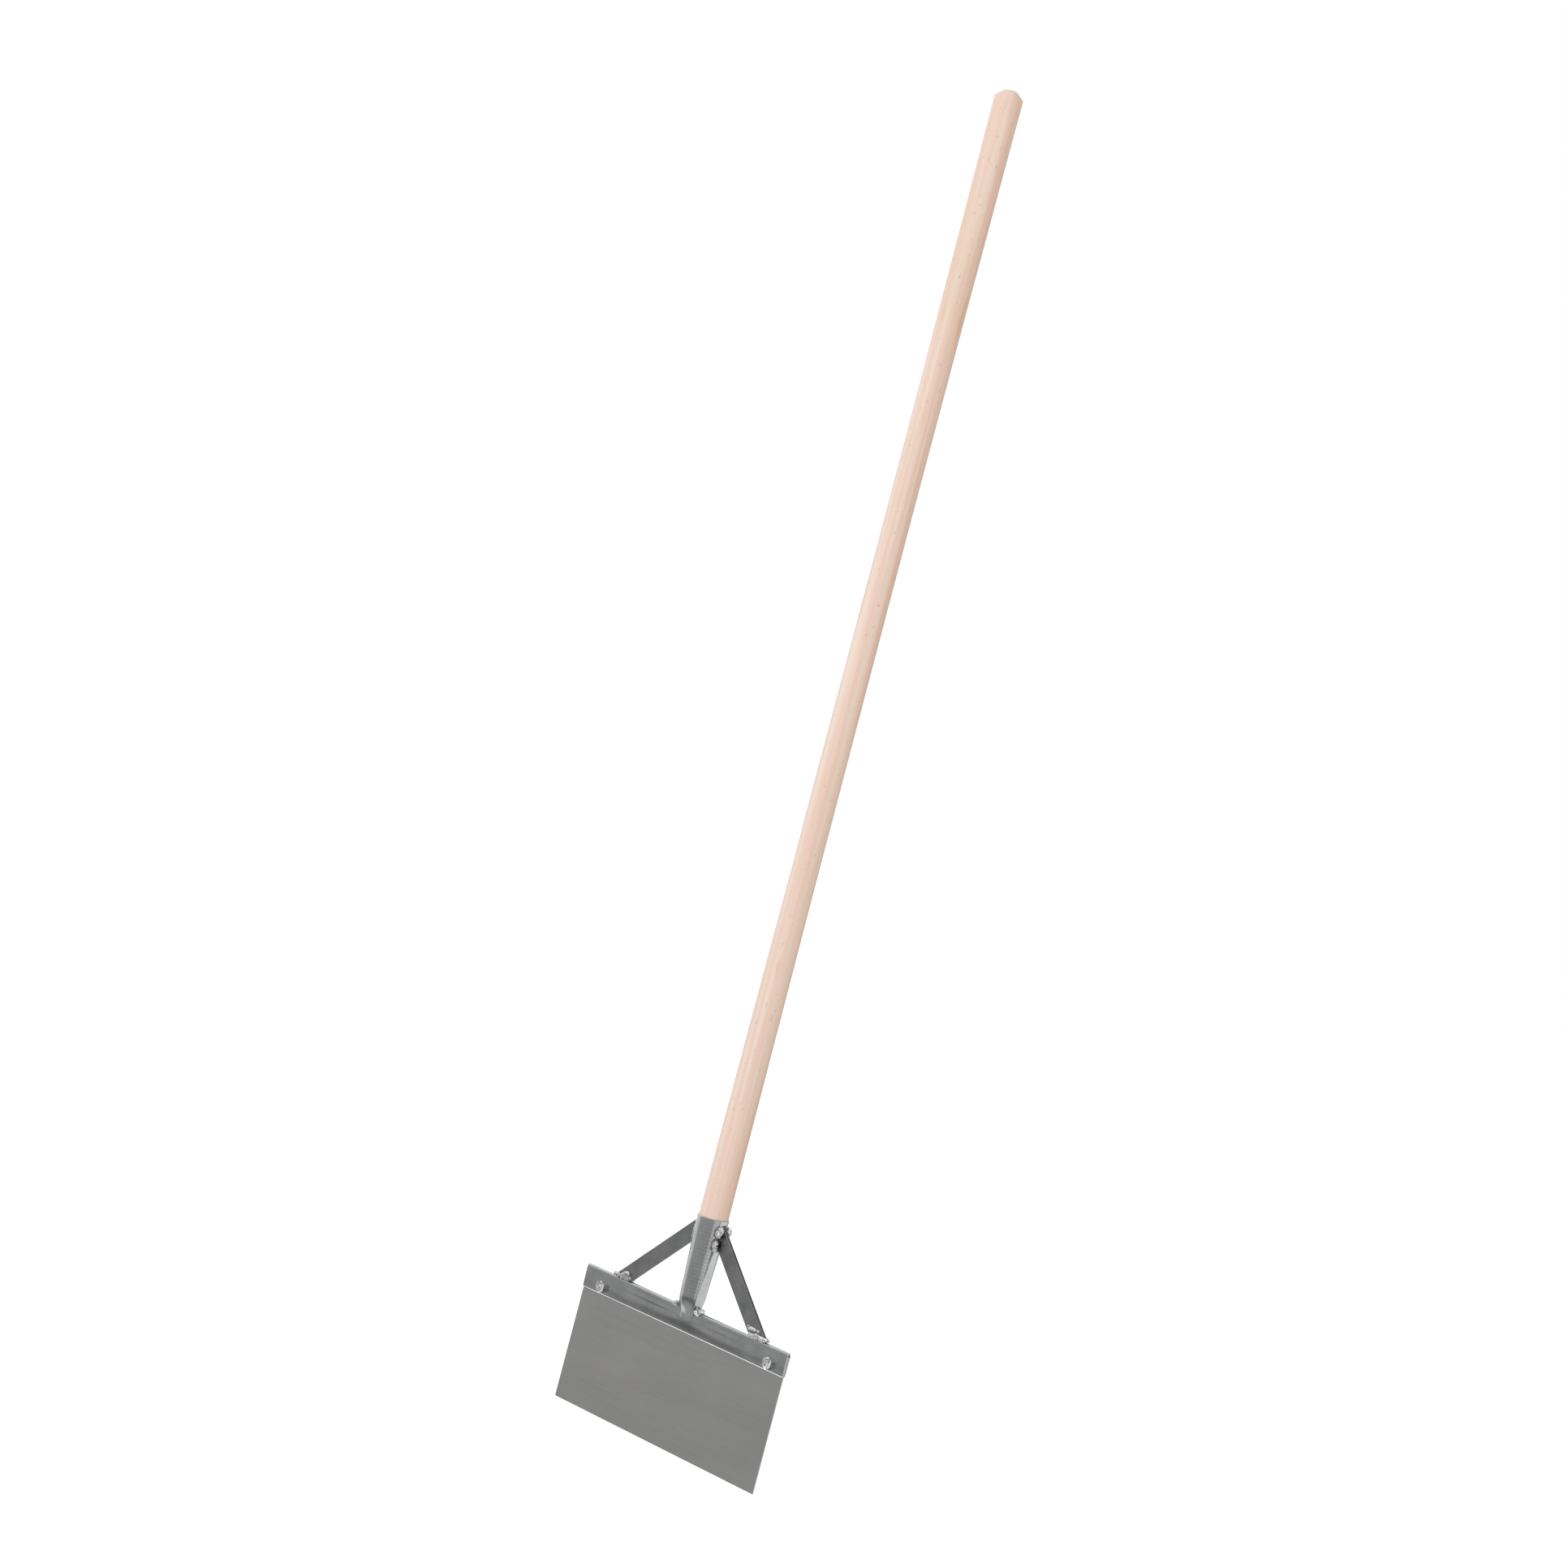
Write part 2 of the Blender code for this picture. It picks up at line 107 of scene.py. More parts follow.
# Handle
FOOT_RADIUS = 18.6 * MM
WAIST_RADIUS = 16.05 * MM
WAIST_Z = HOLDER_TOP + 960 * MM
HEAD_RADIUS = 17.7 * MM
SWELL_START = MOUTH_Z + 14 * MM
FOOT_POWER = 1.6                    # how the pole's sides curve below and above the waist
HEAD_POWER = 2
HANDLE_STEPS = 240
HANDLE_SEGMENTS = 120
END_PROFILE = (                     # radius and depth below the top, round the turned end
    (HEAD_RADIUS, 9.6 * MM),
    (17.1 * MM, 8.4 * MM),
    (15.2 * MM, 6.5 * MM),
    (13.3 * MM, 4.6 * MM),
    (11.2 * MM, 2.7 * MM),
    (9.2 * MM, 1.2 * MM),
    (7.6 * MM, 0.3 * MM),
    (6.0 * MM, 0.05 * MM),
    (3.0 * MM, 0.0),
)

# Braces
BRACE_WIDTH = 20 * MM
BRACE_HALF_THICK = 2.5 * MM
BRACE_FOOT_X = 118 * MM
BRACE_ANGLE = math.radians(44)
BRACE_REACH = 95 * MM               # half the length of the bar before its ends are cut
BRACE_SPARE = 40 * MM

# Bolts, nuts and washers
BOLT_X = 146 * MM
BOLT_Z = 151.5 * MM
BOLT_RADIUS = 3.95 * MM
HEX_FLATS = 13 * MM
HEAD_HEIGHT = 5.3 * MM
NUT_HEIGHT = 6.5 * MM
WASHER_RADIUS = 8 * MM
WASHER_THICK = 1.6 * MM
THREAD_PITCH = 1.25 * MM
HEX_STEPS = 12                      # points along each side of a hexagon
HEX_TURNED = 0.96                   # of the half width, where the corners are turned off
TURNED_SEGMENTS = 48
GAP = 0.3 * MM

SIDES = (("left", -1), ("right", 1))


# ---------------------------------------------------------------- small helpers

def smooth(value):
    """0 to 1 with soft ends."""
    value = min(1.0, max(0.0, value))
    return value * value * (3 - 2 * value)


def bell(value, centre, width):
    return math.exp(-((value - centre) / width) ** 2)


def add_piece(name, shape, material, slot, *nodes, angle=35):
    """Turn a bmesh into a piece that stands for its CAD nodes and hides them."""
    mesh = bpy.data.meshes.new(name)
    bmesh.ops.recalc_face_normals(shape, faces=shape.faces)
    shape.to_mesh(mesh)
    shape.free()
    mesh.shade_smooth()
    mesh.set_sharp_from_angle(angle=math.radians(angle))
    mesh.materials.append(material)
    piece = bpy.data.objects.new(name, mesh)
    bpy.context.scene.collection.objects.link(piece)
    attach(piece, "root")
    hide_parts(*nodes)
    return piece


def soften_edges(piece, width, segments=3, angle=40):
    """Round the sharp edges, so that they catch the light."""
    bevel = piece.modifiers.new("soft_edges", "BEVEL")
    bevel.width = width
    bevel.segments = segments
    bevel.limit_method = "ANGLE"
    bevel.angle_limit = math.radians(angle)
    bevel.harden_normals = True


def skin_rings(rings, caps=True):
    shape = bmesh.new()
    loops = [[shape.verts.new(point) for point in ring] for ring in rings]
    count = len(loops[0])
    for lower, upper in zip(loops, loops[1:]):
        for i in range(count):
            j = (i + 1) % count
            shape.faces.new((lower[i], lower[j], upper[j], upper[i]))
    if caps:
        shape.faces.new(list(reversed(loops[0])))
        shape.faces.new(loops[-1])
    return shape


def ring_turns(count):
    return [2 * math.pi * i / count for i in range(count)]


def turned_shape(profile, segments):
    rings = []
    for radius, z in profile:
        rings.append([Vector((radius * math.cos(t), radius * math.sin(t), z)) for t in ring_turns(segments)])
    return skin_rings(rings)


def lay_along_y(shape, x, y, z):
    """Turn a body made along +Z so that it runs along +Y from the given point."""
    matrix = Matrix.Translation((x, y, z)) @ Matrix.Rotation(-math.pi / 2, 4, "X")
    bmesh.ops.transform(shape, matrix=matrix, verts=shape.verts)
    return shape


# ---------------------------------------------------------------- material graphs

class Graph:
    """Short ways to add and join the nodes of one material or world."""

    def __init__(self, tree):
        self.tree = tree

    def add(self, kind, inputs, **settings):
        node = self.tree.nodes.new(kind)
        for key, value in settings.items():
            setattr(node, key, value)
        for key, value in inputs.items():
            if isinstance(value, bpy.types.NodeSocket):
                self.tree.links.new(value, node.inputs[key])
            else:
                node.inputs[key].default_value = value
        return node

    def math(self, operation, first, second=0.0):
        return self.add("ShaderNodeMath", {0: first, 1: second}, operation=operation).outputs[0]

    def place(self):
        return self.add("ShaderNodeTexCoord", {}).outputs["Object"]

    def stretch(self, vector, scale):
        return self.add("ShaderNodeMapping", {"Vector": vector, "Scale": scale}).outputs[0]

    def noise(self, vector, scale, detail=3.0, roughness=0.5):
        inputs = {"Vector": vector, "Scale": scale, "Detail": detail, "Roughness": roughness}
        return self.add("ShaderNodeTexNoise", inputs).outputs["Fac"]

    def cells(self, vector, scale):
        return self.add("ShaderNodeTexVoronoi", {"Vector": vector, "Scale": scale}).outputs["Color"]

    def remap(self, value, low, high, to_low=0.0, to_high=1.0):
        inputs = {0: value, 1: low, 2: high, 3: to_low, 4: to_high}
        return self.add("ShaderNodeMapRange", inputs, interpolation_type="SMOOTHSTEP").outputs[0]

    def mix(self, share, first, second):
        node = self.add("ShaderNodeMix", {0: share, 6: first, 7: second}, data_type="RGBA")
        return node.outputs[2]

    def bump(self, height, strength, distance, under=None):
        inputs = {"Height": height, "Strength": strength, "Distance": distance}
        if under is not None:
            inputs["Normal"] = under
        return self.add("ShaderNodeBump", inputs).outputs[0]


def new_material(name):
    material = bpy.data.materials.new(name)
    material.use_nodes = True
    return material, Graph(material.node_tree), material.node_tree.nodes["Principled BSDF"]


def join(graph, shader, **outputs):
    for name, socket in outputs.items():
        graph.tree.links.new(socket, shader.inputs[name.replace("_", " ")])


def grey(level, warmth=0.0):
    return (level * (1 + warmth), level, level * (1 - warmth), 1.0)


def sheet_steel(name, dark, light, rough_low, rough_high, dented):
    """Galvanised or pickled sheet: cloudy mottling, fine grain and small stains."""
    material, graph, shader = new_material(name)
    place = graph.place()
    clouds = graph.noise(place, 38.0, 5.0, 0.6)
    grain = graph.noise(place, 900.0, 2.0, 0.6)
    spangle = graph.cells(place, 260.0)
    tone = graph.mix(graph.remap(clouds, 0.34, 0.66), grey(dark, -0.012), grey(light, -0.008))
    tone = graph.mix(graph.math("MULTIPLY", graph.remap(spangle, 0.2, 0.9), 0.16), tone, grey(light * 1.25))
    stains = graph.remap(graph.noise(place, 150.0, 4.0, 0.7), 0.64, 0.74)
    tone = graph.mix(graph.math("MULTIPLY", stains, 0.4), tone, grey(dark * 0.6))
    rough = graph.remap(graph.noise(place, 70.0, 4.0, 0.6), 0.3, 0.7, rough_low, rough_high)
    dents = graph.bump(graph.noise(place, 120.0, 2.0, 0.5), dented, 0.4 * MM)
    normal = graph.bump(grain, 0.12, 0.06 * MM, dents)
    shader.inputs["Metallic"].default_value = 1.0
    join(graph, shader, Base_Color=tone, Roughness=rough, Normal=normal)
    return material


def blade_steel():
    """Rolled wear steel: faint lines along the blade, soft clouds and a few dark scratches."""
    material, graph, shader = new_material("blade_steel")
    place = graph.place()
    lines = graph.noise(graph.stretch(place, (6.0, 40.0, 620.0)), 1.0, 4.0, 0.7)
    fine = graph.noise(graph.stretch(place, (25.0, 200.0, 2400.0)), 1.0, 3.0, 0.7)
    clouds = graph.noise(graph.stretch(place, (9.0, 20.0, 22.0)), 1.0, 3.0, 0.5)
    tone = graph.mix(graph.remap(clouds, 0.3, 0.7), grey(0.368, 0.012), grey(0.403, 0.012))
    tone = graph.mix(graph.math("MULTIPLY", graph.remap(lines, 0.35, 0.65), 0.25), tone, grey(0.47, 0.010))
    marks = graph.noise(graph.stretch(place, (60.0, 90.0, 420.0)), 1.0, 2.0, 0.5)
    marks = graph.math("MULTIPLY", graph.remap(marks, 0.73, 0.78), 0.55)
    tone = graph.mix(marks, tone, grey(0.2))
    rough = graph.remap(fine, 0.3, 0.7, 0.44, 0.56)
    normal = graph.bump(fine, 0.2, 0.03 * MM, graph.bump(lines, 0.2, 0.06 * MM))
    shader.inputs["Metallic"].default_value = 1.0
    shader.inputs["Anisotropic"].default_value = 0.3
    join(graph, shader, Base_Color=tone, Roughness=rough, Normal=normal)
    return material


def bright_metal(name, level, rough_low, rough_high, pitting, dirt):
    """Zinc plate or weld metal: clear reflections broken up by pits and a dull film."""
    material, graph, shader = new_material(name)
    place = graph.place()
    film = graph.noise(place, 240.0, 4.0, 0.65)
    tone = graph.mix(graph.remap(film, 0.35, 0.65), grey(level * 0.78), grey(level))
    soot = graph.remap(graph.noise(place, 420.0, 3.0, 0.6), 0.54, 0.62)
    tone = graph.mix(graph.math("MULTIPLY", soot, dirt), tone, grey(level * 0.14, 0.03))
    rough = graph.remap(graph.noise(place, 330.0, 3.0, 0.5), 0.3, 0.7, rough_low, rough_high)
    normal = graph.bump(graph.noise(place, 700.0, 3.0, 0.6), pitting, 0.2 * MM)
    shader.inputs["Metallic"].default_value = 1.0
    join(graph, shader, Base_Color=tone, Roughness=rough, Normal=normal)
    return material


def beech():
    """Sanded bare beech: pale pinkish bands up the pole, fine pores, rays and a few streaks."""
    material, graph, shader = new_material("beech_wood")
    place = graph.place()
    warp = graph.noise(graph.stretch(place, (12.0, 12.0, 1.6)), 1.0, 2.0, 0.5)
    bands = graph.noise(graph.stretch(place, (150.0, 150.0, 2.4)), 1.0, 4.0, 0.55)
    pale = (0.86, 0.725, 0.625, 1.0)
    pink = (0.825, 0.62, 0.515, 1.0)
    tan = (0.74, 0.53, 0.39, 1.0)
    tone = graph.mix(graph.remap(bands, 0.36, 0.64), pale, pink)
    tone = graph.mix(graph.math("MULTIPLY", graph.remap(warp, 0.48, 0.7), 0.5), tone, tan)
    pores = graph.noise(graph.stretch(place, (1500.0, 1500.0, 55.0)), 1.0, 2.0, 0.6)
    tone = graph.mix(graph.math("MULTIPLY", graph.remap(pores, 0.58, 0.74), 0.35), tone, tan)
    flecks = graph.noise(graph.stretch(place, (420.0, 420.0, 130.0)), 1.0, 1.0, 0.5)
    flecks = graph.math("MULTIPLY", graph.remap(flecks, 0.70, 0.77), 0.5)
    tone = graph.mix(flecks, tone, (0.50, 0.30, 0.17, 1.0))
    streaks = graph.noise(graph.stretch(place, (95.0, 95.0, 9.0)), 1.0, 2.0, 0.4)
    streaks = graph.math("MULTIPLY", graph.remap(streaks, 0.68, 0.76), 0.55)
    tone = graph.mix(streaks, tone, (0.78, 0.50, 0.28, 1.0))
    rough = graph.remap(bands, 0.3, 0.7, 0.46, 0.58)
    normal = graph.bump(pores, 0.25, 0.08 * MM, graph.bump(bands, 0.15, 0.25 * MM))
    shader.inputs["Specular IOR Level"].default_value = 0.18
    join(graph, shader, Base_Color=tone, Roughness=rough, Normal=normal)
    return material


# ---------------------------------------------------------------- blade and holder

def bent_sheet(x, z):
    """How far the holder's front face is pushed in (positive) by the press and the welding."""
    share = (z - HOLDER_LOW[2]) / (HOLDER_TOP - HOLDER_LOW[2])
    middle = bell(x, 5 * MM, 115 * MM)
    curl = CURL_DEPTH * (0.35 + 0.65 * middle) * smooth(1 - share / 0.40)
    beside = bell(x, -62 * MM, 40 * MM) + 0.7 * bell(x, 62 * MM, 28 * MM)
    ridge = RIDGE_HEIGHT * beside * (bell(share, 0.76, 0.07) - bell(share, 0.62, 0.05))
    waves = WAVE_DEPTH * noise.noise(Vector((x * 26, 0.0, z * 70)))
    fillet = FILLET_HEIGHT * bell(x, 0.0, 19 * MM) * smooth((share - 0.12) / 0.5)
    return curl + ridge + waves * smooth(share * 4) - fillet


def build_blade(material):
    """A plate of fine strips, its cutting edge a little worn and its edges broken."""
    columns, rows = 140, 60
    half = BLADE_HIGH[1]
    rings = []
    for row in range(rows + 1):
        ring = []
        for side in (-1, 1):
            for column in range(columns + 1):
                along = column / columns if side < 0 else 1 - column / columns
                x = BLADE_LOW[0] + along * (BLADE_HIGH[0] - BLADE_LOW[0])
                z = BLADE_LOW[2] + row / rows * (BLADE_HIGH[2] - BLADE_LOW[2])
                if row == 0:
                    z += 0.12 * MM * (1 + noise.noise(Vector((x * 90, 0.0, 3.0))))
                ring.append(Vector((x, side * half, z)))
        rings.append(ring)
    blade = add_piece("blade_plate", skin_rings(rings), material, "blade_steel", "blade")
    soften_edges(blade, 0.25 * MM)


def holder_section():
    """Outer run of the fold from the lower front edge to the lower back edge, then the inner run back."""
    bottom = HOLDER_LOW[2]
    spring = HOLDER_TOP - FOLD_HEIGHT
    inner_half = HOLDER_HALF - HOLDER_SHEET
    inner_rise = FOLD_HEIGHT - HOLDER_SHEET
    low = bottom + LOWER_BEVEL_RISE
    climbs = [low + (spring - low) * i / FACE_STEPS for i in range(FACE_STEPS)]
    turns = [math.pi * i / FOLD_STEPS for i in range(FOLD_STEPS + 1)]
    corner = []
    for i in range(LOWER_BEVEL_STEPS):
        climb = i / LOWER_BEVEL_STEPS
        corner.append((HOLDER_HALF - LOWER_BEVEL_DEPTH * (1 - climb), bottom + LOWER_BEVEL_RISE * climb))
    front = [(-y, z) for y, z in corner] + [(-HOLDER_HALF, z) for z in climbs]
    fold = [(-HOLDER_HALF * math.cos(t), spring + FOLD_HEIGHT * math.sin(t)) for t in turns]
    back = [(HOLDER_HALF, z) for z in reversed(climbs)] + list(reversed(corner))
    inner_turns = turns[::2]
    inner_back = [(inner_half, bottom)]
    inner_fold = [(inner_half * math.cos(t), spring + inner_rise * math.sin(t)) for t in inner_turns]
    inner_front = [(-inner_half, bottom)]
    return front + fold + back + inner_back + inner_fold + inner_front


def build_holder(material):
    section = holder_section()
    inner_half = HOLDER_HALF - HOLDER_SHEET
    rings = []
    for station in range(HOLDER_STATIONS + 1):
        x = HOLDER_LOW[0] + (HOLDER_HIGH[0] - HOLDER_LOW[0]) * station / HOLDER_STATIONS
        ring = []
        for y, z in section:
            share = smooth((abs(y) - inner_half) / (BEND_SHARE * HOLDER_SHEET))
            if y < 0:
                y += bent_sheet(x, z) * share
            else:
                y -= bent_sheet(-x, z) * share
            ring.append(Vector((x, y, z)))
        rings.append(ring)
    holder = add_piece("folded_holder", skin_rings(rings), material, "galvanised_steel", "blade_holder")
    soften_edges(holder, 0.5 * MM)


# ---------------------------------------------------------------- socket and handle

def socket_radius(z):
    share = (z - HOLDER_TOP) / (MOUTH_Z - HOLDER_TOP)
    return NECK_RADIUS + share * (MOUTH_RADIUS - NECK_RADIUS)


def socket_point(turn, z):
    """A point on the pressed tube: flat lips below, round above, one pressed flat and small ripples."""
    share = (z - LIP_BOTTOM) / (LIP_TOP - LIP_BOTTOM)
    radius = socket_radius(z)
    half_x, half_y = radius, radius
    if share < 1:
        fade = LIP_FADE * (1 - smooth(share * 3))
        rise = share ** 3 * (share * (6 * share - 15) + 10)
        half_x = LIP_HALF_WIDTH + math.sin(share * math.pi / 2) * (radius - LIP_HALF_WIDTH)
        half_y = LIP_HALF_DEPTH - fade + rise * (radius - LIP_HALF_DEPTH)
    dents = DENT_DEPTH * noise.noise(Vector((math.cos(turn) * 1.6, math.sin(turn) * 1.6, z * 28)))
    wander = 2.0 * noise.noise(Vector((0.0, turn, z * 60)))
    ripples = RIPPLE_DEPTH * math.sin(z / RIPPLE_PITCH * 2 * math.pi + wander)
    ripples *= smooth((MOUTH_Z - z) / (10 * MM))
    seam = 0.0
    for place in SEAM_TURNS:
        seam += SEAM_HEIGHT * bell(turn, 2 * math.pi + place, 0.035)
    scale = 1 + (dents + ripples + seam - TUBE_INSET) / radius
    x = half_x * math.cos(turn) * scale
    y = half_y * math.sin(turn) * scale
    press = PRESS_DEPTH * smooth((PRESS_TOP - z) / (60 * MM)) * smooth((z - LIP_BOTTOM) / (14 * MM))
    flat = half_x - press
    if x > flat:
        x = flat + 0.06 * (x - flat)
    return Vector((x, y, z))


def build_socket(material):
    """Outer skin up to a rounded rim, then a short way down inside the mouth."""
    turns = ring_turns(SOCKET_SEGMENTS)
    rim = SOCKET_WALL / 2
    rings = []
    for i in range(SOCKET_RINGS + 1):
        z = LIP_BOTTOM + (MOUTH_Z - rim - LIP_BOTTOM) * i / SOCKET_RINGS
        rings.append([socket_point(turn, z) for turn in turns])
    outer = rings[-1]
    for i in range(1, RIM_STEPS + 1):
        roll = math.pi * i / RIM_STEPS
        inward = rim * (1 - math.cos(roll))
        lift = rim * math.sin(roll)
        ring = []
        for point in outer:
            flat = Vector((point.x, point.y, 0))
            drop = 0.25 * MM * smooth(noise.noise(flat * 190) * 2 - 0.3)
            ring.append(Vector((*(flat - flat.normalized() * inward).xy, point.z + lift - drop)))
        rings.append(ring)
    inner = rings[-1]
    rings.append([point - Vector((0, 0, MOUTH_DEPTH)) for point in inner])
    nodes = ("socket", "weld_lip_front", "weld_lip_back")
    add_piece("socket_tube", skin_rings(rings), material, "galvanised_steel", *nodes, angle=60)


def handle_radius(z):
    if z < SWELL_START:
        return FOOT_RADIUS
    if z < WAIST_Z:
        share = (WAIST_Z - z) / (WAIST_Z - SWELL_START)
        return WAIST_RADIUS + (FOOT_RADIUS - WAIST_RADIUS) * share ** FOOT_POWER
    share = (z - WAIST_Z) / (HANDLE_HIGH[2] - END_PROFILE[0][1] - WAIST_Z)
    return WAIST_RADIUS + (HEAD_RADIUS - WAIST_RADIUS) * share ** HEAD_POWER


def build_handle(material):
    """The turned pole. Its hidden foot is a little thinner, clear of the pressed socket."""
    inside = 3.4 * MM
    profile = [
        (socket_radius(HANDLE_LOW[2]) - inside - 2 * MM, HANDLE_LOW[2]),
        (socket_radius(HANDLE_LOW[2]) - inside, HANDLE_LOW[2] + 2 * MM),
        (socket_radius(MOUTH_Z) - inside, MOUTH_Z - 14 * MM),
        (FOOT_RADIUS - 0.2 * MM, MOUTH_Z - 4 * MM),
    ]
    end_base = HANDLE_HIGH[2] - END_PROFILE[0][1]
    for i in range(HANDLE_STEPS):
        z = MOUTH_Z + (end_base - MOUTH_Z) * i / HANDLE_STEPS
        profile.append((handle_radius(z), z))
    profile += [(radius, HANDLE_HIGH[2] - depth) for radius, depth in END_PROFILE]
    shape = turned_shape(profile, HANDLE_SEGMENTS)
    for vert in shape.verts:
        around = Vector((vert.co.x * 60, vert.co.y * 60, vert.co.z * 5))
        shrink = 1 - 0.006 * (0.5 + 0.5 * noise.noise(around))
        vert.co.x *= shrink
        vert.co.y *= shrink
    add_piece("turned_handle", shape, material, "beech_wood", "handle", angle=32)


# ---------------------------------------------------------------- braces

def build_brace(label, side, material):
    """Flat bar with rounded edges, cut level at the foot and along the tube at the top."""
    shape = bmesh.new()
    size = (2 * BRACE_REACH, 2 * BRACE_HALF_THICK, BRACE_WIDTH)
    bmesh.ops.create_cube(shape, size=1.0, matrix=Matrix.Diagonal((*size, 1.0)))
    slope = math.pi - BRACE_ANGLE if side > 0 else BRACE_ANGLE
    foot = Vector((side * BRACE_FOOT_X, 0, HOLDER_TOP))
    along = Vector((math.cos(slope), 0, math.sin(slope)))
    middle = foot + along * (BRACE_REACH - BRACE_SPARE)
    matrix = Matrix.Translation(middle) @ Matrix.Rotation(-slope, 4, "Y")
    bmesh.ops.transform(shape, matrix=matrix, verts=shape.verts)
    taper = (MOUTH_RADIUS - NECK_RADIUS) / (MOUTH_Z - HOLDER_TOP)
    cuts = (
        (Vector((0, 0, HOLDER_TOP + GAP / 2)), Vector((0, 0, -1))),
        (Vector((side * (NECK_RADIUS - 0.6 * MM), 0, HOLDER_TOP)), Vector((-side, 0, taper))),
    )
    for point, normal in cuts:
        everything = shape.verts[:] + shape.edges[:] + shape.faces[:]
        bmesh.ops.bisect_plane(shape, geom=everything, plane_co=point, plane_no=normal, clear_outer=True)
        bmesh.ops.holes_fill(shape, edges=shape.edges, sides=0)
    name = "brace_" + label
    brace = add_piece("bar_" + label, shape, material, "galvanised_steel", name)
    soften_edges(brace, 0.6 * MM, 4)


# ---------------------------------------------------------------- bolts, nuts, washers, screw

def hex_rings(height, chamfer_bottom, chamfer_top):
    """Hexagon body whose corners are turned off by a cone, so each flat ends in an arc."""
    apothem = HEX_FLATS / 2
    turned = apothem * HEX_TURNED
    drop = math.tan(math.radians(30))
    corners = []
    for turn in ring_turns(6 * HEX_STEPS):
        off = (turn + math.pi / 6) % (math.pi / 3) - math.pi / 6
        corners.append((turn, apothem / math.cos(off)))

    def ring(radius_of, z_of):
        return [Vector((radius_of(r) * math.cos(t), radius_of(r) * math.sin(t), z_of(r))) for t, r in corners]

    rings = []
    if chamfer_bottom:
        rings.append(ring(lambda r: turned, lambda r: 0.0))
        rings.append(ring(lambda r: r, lambda r: (r - turned) * drop))
    else:
        rings.append(ring(lambda r: r, lambda r: 0.0))
    if chamfer_top:
        rings.append(ring(lambda r: r, lambda r: height - (r - turned) * drop))
    rings.append(ring(lambda r: turned, lambda r: height))
    return rings


def build_bolt(label, side, material):
    """Forged head with a dished, uneven face, and a threaded tail behind the nut."""
    rings = hex_rings(HEAD_HEIGHT, False, True)
    rim = HEX_FLATS / 2 * HEX_TURNED
    seed = Vector((side * 7.3, 2.1, 0.0))
    for share in (0.86, 0.72, 0.58, 0.44, 0.30, 0.16, 0.05):
        ring = []
        for turn in ring_turns(6 * HEX_STEPS):
            x = rim * share * math.cos(turn)
            y = rim * share * math.sin(turn)
            hollow = 0.35 * MM * smooth((1 - share) * 4)
            uneven = 1.1 * MM * noise.noise(Vector((x, y, 0)) * 380 + seed) * smooth((1 - share) * 5)
            ring.append(Vector((x, y, HEAD_HEIGHT - hollow - abs(uneven))))
        rings.append(ring)
    head = skin_rings(rings)
    bmesh.ops.transform(head, matrix=Matrix.Rotation(math.pi, 4, "X"), verts=head.verts)
    seat = -HOLDER_HALF - GAP / 2
    head = lay_along_y(head, side * BOLT_X, seat, BOLT_Z)
    nut_end = 2 * HOLDER_HALF + WASHER_THICK + 3 * GAP + NUT_HEIGHT
    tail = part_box("bolt_" + label)[1][1] - seat
    core = BOLT_RADIUS - 0.55 * MM
    profile = [(BOLT_RADIUS, -1 * MM), (BOLT_RADIUS, nut_end - 3 * MM)]
    z = nut_end - 3 * MM
    while z + THREAD_PITCH < tail - 0.6 * MM:
        profile += [(core, z + THREAD_PITCH * 0.35), (core, z + THREAD_PITCH * 0.5)]
        profile += [(BOLT_RADIUS, z + THREAD_PITCH * 0.9), (BOLT_RADIUS, z + THREAD_PITCH)]
        z += THREAD_PITCH
    profile += [(core, tail - 0.2 * MM), (core - 0.5 * MM, tail)]
    shank = lay_along_y(turned_shape(profile, TURNED_SEGMENTS), side * BOLT_X, seat, BOLT_Z)
    scratch = bpy.data.meshes.new("shank")
    shank.to_mesh(scratch)
    shank.free()
    head.from_mesh(scratch)
    bpy.data.meshes.remove(scratch)
    bolt = add_piece("hex_bolt_" + label, head, material, "zinc_fastener", "bolt_" + label, angle=25)
    soften_edges(bolt, 0.12 * MM, 2, 28)


def build_washer(label, side, material):
    inner, edge = 4.4 * MM, 0.3 * MM
    profile = [
        (inner, 0.0),
        (WASHER_RADIUS - edge, 0.0),
        (WASHER_RADIUS, edge),
        (WASHER_RADIUS, WASHER_THICK - edge),
        (WASHER_RADIUS - edge, WASHER_THICK),
        (inner, WASHER_THICK),
    ]
    shape = turned_shape(profile, 72)
    bmesh.ops.delete(shape, geom=[face for face in shape.faces if len(face.verts) > 4], context="FACES_ONLY")
    bmesh.ops.bridge_loops(shape, edges=[edge for edge in shape.edges if edge.is_boundary])
    shape = lay_along_y(shape, side * BOLT_X, HOLDER_HALF + GAP / 2, BOLT_Z)
    add_piece("flat_washer_" + label, shape, material, "zinc_fastener", "washer_" + label, angle=30)


def build_nut(label, side, material):
    rings = hex_rings(NUT_HEIGHT, True, True)
    bore = BOLT_RADIUS + 0.1 * MM
    mouth = bore + 0.5 * MM
    turns = ring_turns(6 * HEX_STEPS)
    for radius, z in ((mouth, NUT_HEIGHT), (bore, NUT_HEIGHT - 0.5 * MM), (bore, 0.5 * MM), (mouth, 0.0)):
        rings.append([Vector((radius * math.cos(t), radius * math.sin(t), z)) for t in turns])
    shape = skin_rings(rings + [rings[0]], caps=False)
    bmesh.ops.remove_doubles(shape, verts=shape.verts, dist=0.001 * MM)
    start = HOLDER_HALF + WASHER_THICK + 1.5 * GAP
    shape = lay_along_y(shape, side * BOLT_X, start, BOLT_Z)
    nut = add_piece("hex_nut_" + label, shape, material, "zinc_fastener", "nut_" + label, angle=25)
    soften_edges(nut, 0.12 * MM, 2, 28)


